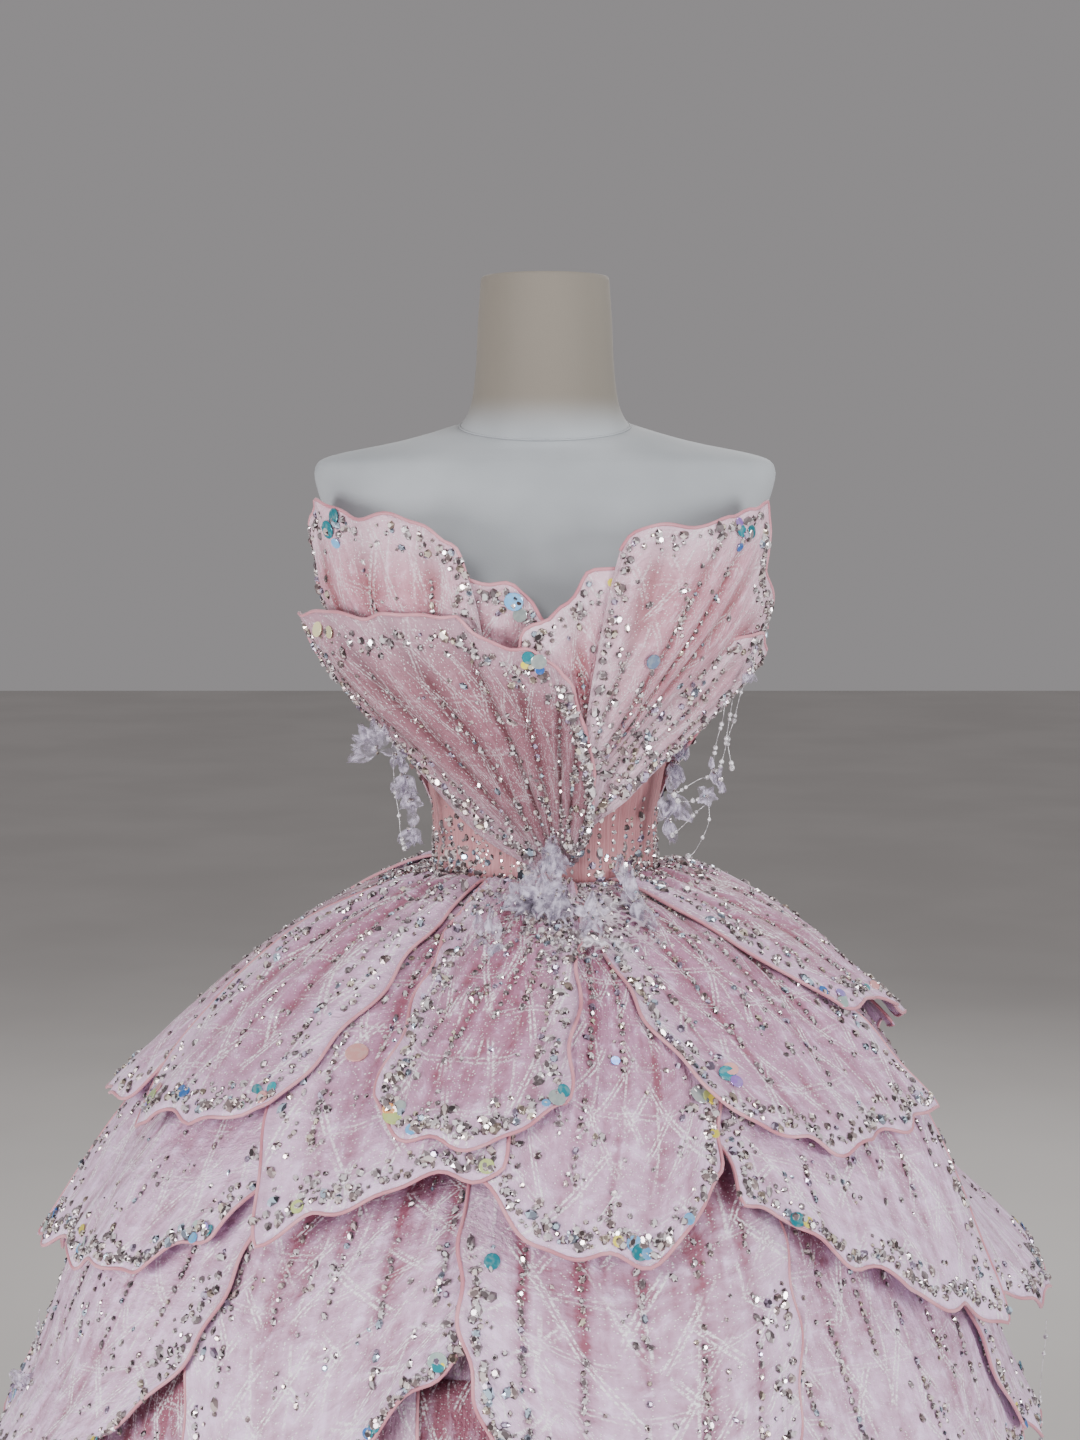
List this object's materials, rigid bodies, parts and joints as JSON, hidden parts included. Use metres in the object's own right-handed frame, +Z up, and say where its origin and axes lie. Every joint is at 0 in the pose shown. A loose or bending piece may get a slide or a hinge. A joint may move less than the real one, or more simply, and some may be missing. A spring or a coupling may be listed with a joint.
{
  "type": "ball gown on a dress form",
  "caption": "Strapless ball gown with a pleated petal bodice and a full skirt of overlapping organza petals, on a limbless dress form with a round foot.",
  "frame": {"origin": "centre of the underside of the stand's round foot, on the floor", "axes": "+Z up, the gown's front faces -Y, the wearer's left side is +X"},
  "size_m": [1.2143, 1.2094, 1.566],
  "materials": {
    "organza": "pale pink organza over a pink lining, beaded and edged with rolled piping",
    "pleated_organza": "pleated pink organza, beaded along the pleats",
    "corset_satin": "salmon satin with fine upright ruching",
    "underskirt": "matt pink lining cloth",
    "white_flowers": "white organza flowers and beads on net",
    "form_cover": "plain white stretched cotton",
    "stand_metal": "satin steel pole and foot"
  },
  "bodies": {
    "root": {"stand_base": "stand_metal", "stand_pole": "stand_metal", "form_torso": "form_cover", "form_neck": "form_cover", "corset_front": "corset_satin", "corset_side_right": "corset_satin", "corset_side_left": "corset_satin", "corset_back_right": "corset_satin", "corset_back_left": "corset_satin", "bodice_left_inner": "pleated_organza", "bodice_left_outer": "pleated_organza", "bodice_right_inner": "pleated_organza", "bodice_right_outer": "pleated_organza", "bodice_right_lobe": "pleated_organza", "bodice_left_wrap": "pleated_organza", "bodice_back_left": "pleated_organza", "bodice_back_right": "pleated_organza", "waist_applique": "white_flowers", "underskirt_front": "underskirt", "underskirt_back": "underskirt", "petal_1_front": "organza", "petal_1_front_left": "organza", "petal_1_front_right": "organza", "petal_1_side_left": "organza", "petal_1_side_right": "organza", "petal_1_far_left": "organza", "petal_1_far_right": "organza", "petal_1_back_right": "organza", "petal_1_back_left": "organza", "petal_2_side_left": "organza", "petal_2_side_right": "organza", "petal_2_far_right": "organza", "petal_2_back_right": "organza", "petal_2_back_left": "organza", "petal_2_far_left": "organza", "petal_3_front": "organza", "petal_3_front_left": "organza", "petal_3_front_right": "organza", "petal_3_side_left": "organza", "petal_3_far_right": "organza", "petal_3_back_right": "organza", "petal_3_back_left": "organza", "petal_3_far_left": "organza", "petal_4_1": "organza", "petal_4_2": "organza", "petal_4_3": "organza", "petal_4_4": "organza", "petal_4_5": "organza", "petal_4_6": "organza", "petal_5_1": "organza", "petal_5_2": "organza", "petal_5_3": "organza", "petal_5_4": "organza", "petal_5_5": "organza", "petal_5_6": "organza"}
  },
  "joints": []
}
